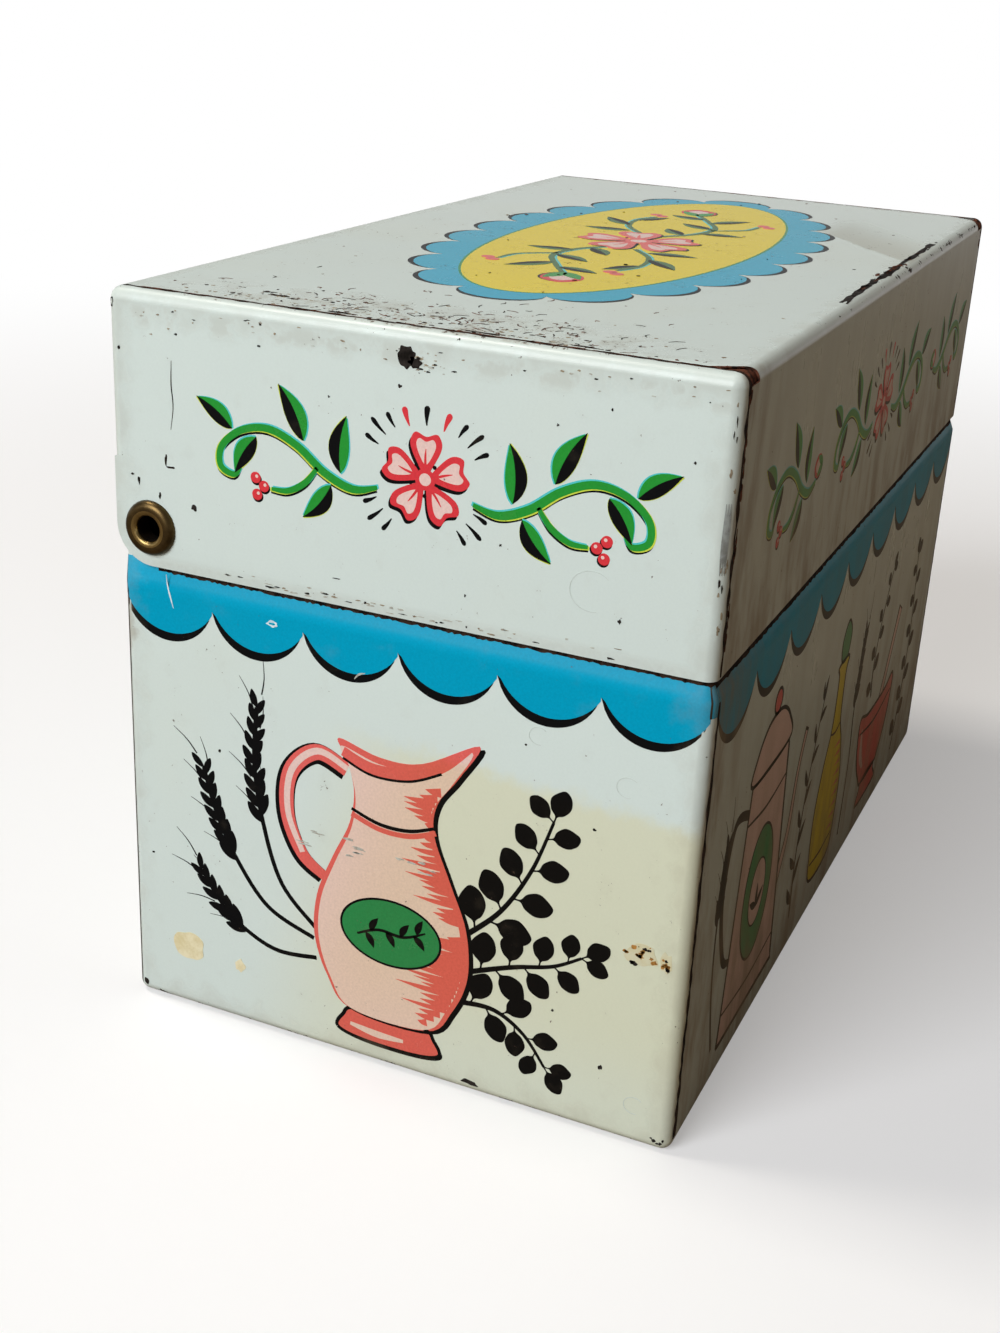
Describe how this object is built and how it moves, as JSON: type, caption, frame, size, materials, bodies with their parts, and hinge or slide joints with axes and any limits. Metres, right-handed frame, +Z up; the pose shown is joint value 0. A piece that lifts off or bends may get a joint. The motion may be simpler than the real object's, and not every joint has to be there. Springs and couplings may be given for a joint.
{
  "type": "recipe card box",
  "caption": "Rectangular tinplate card box with a deep hinged lid on hollow eyelets, scalloped blue band round the body and an oval medallion on the lid.",
  "frame": {"origin": "middle of the base, on the surface that the box stands on", "axes": "+X along the length, towards the end that faces away in the picture; -Y is the long front; +Z up"},
  "size_m": [0.1388, 0.077, 0.095],
  "materials": {
    "printed_enamel": "off-white baked enamel on tinplate with printed decoration, glossy, yellowed and chipped with age",
    "aged_brass": "rolled brass, dark with age, brighter where rubbed"
  },
  "bodies": {
    "body": {"body_wrap": "printed_enamel", "body_end_left": "printed_enamel", "body_end_right": "printed_enamel"},
    "lid": {"lid_wrap": "printed_enamel", "lid_end_left": "printed_enamel", "lid_end_right": "printed_enamel", "hinge_eyelet_left": "aged_brass", "hinge_eyelet_right": "aged_brass"}
  },
  "joints": [
    {"name": "lid_hinge", "type": "hinge", "parent": "body", "child": "lid", "pos_m": [0, 0.0332, 0.0666], "axis": [-1, 0, 0], "range_deg": [0, 108]}
  ]
}
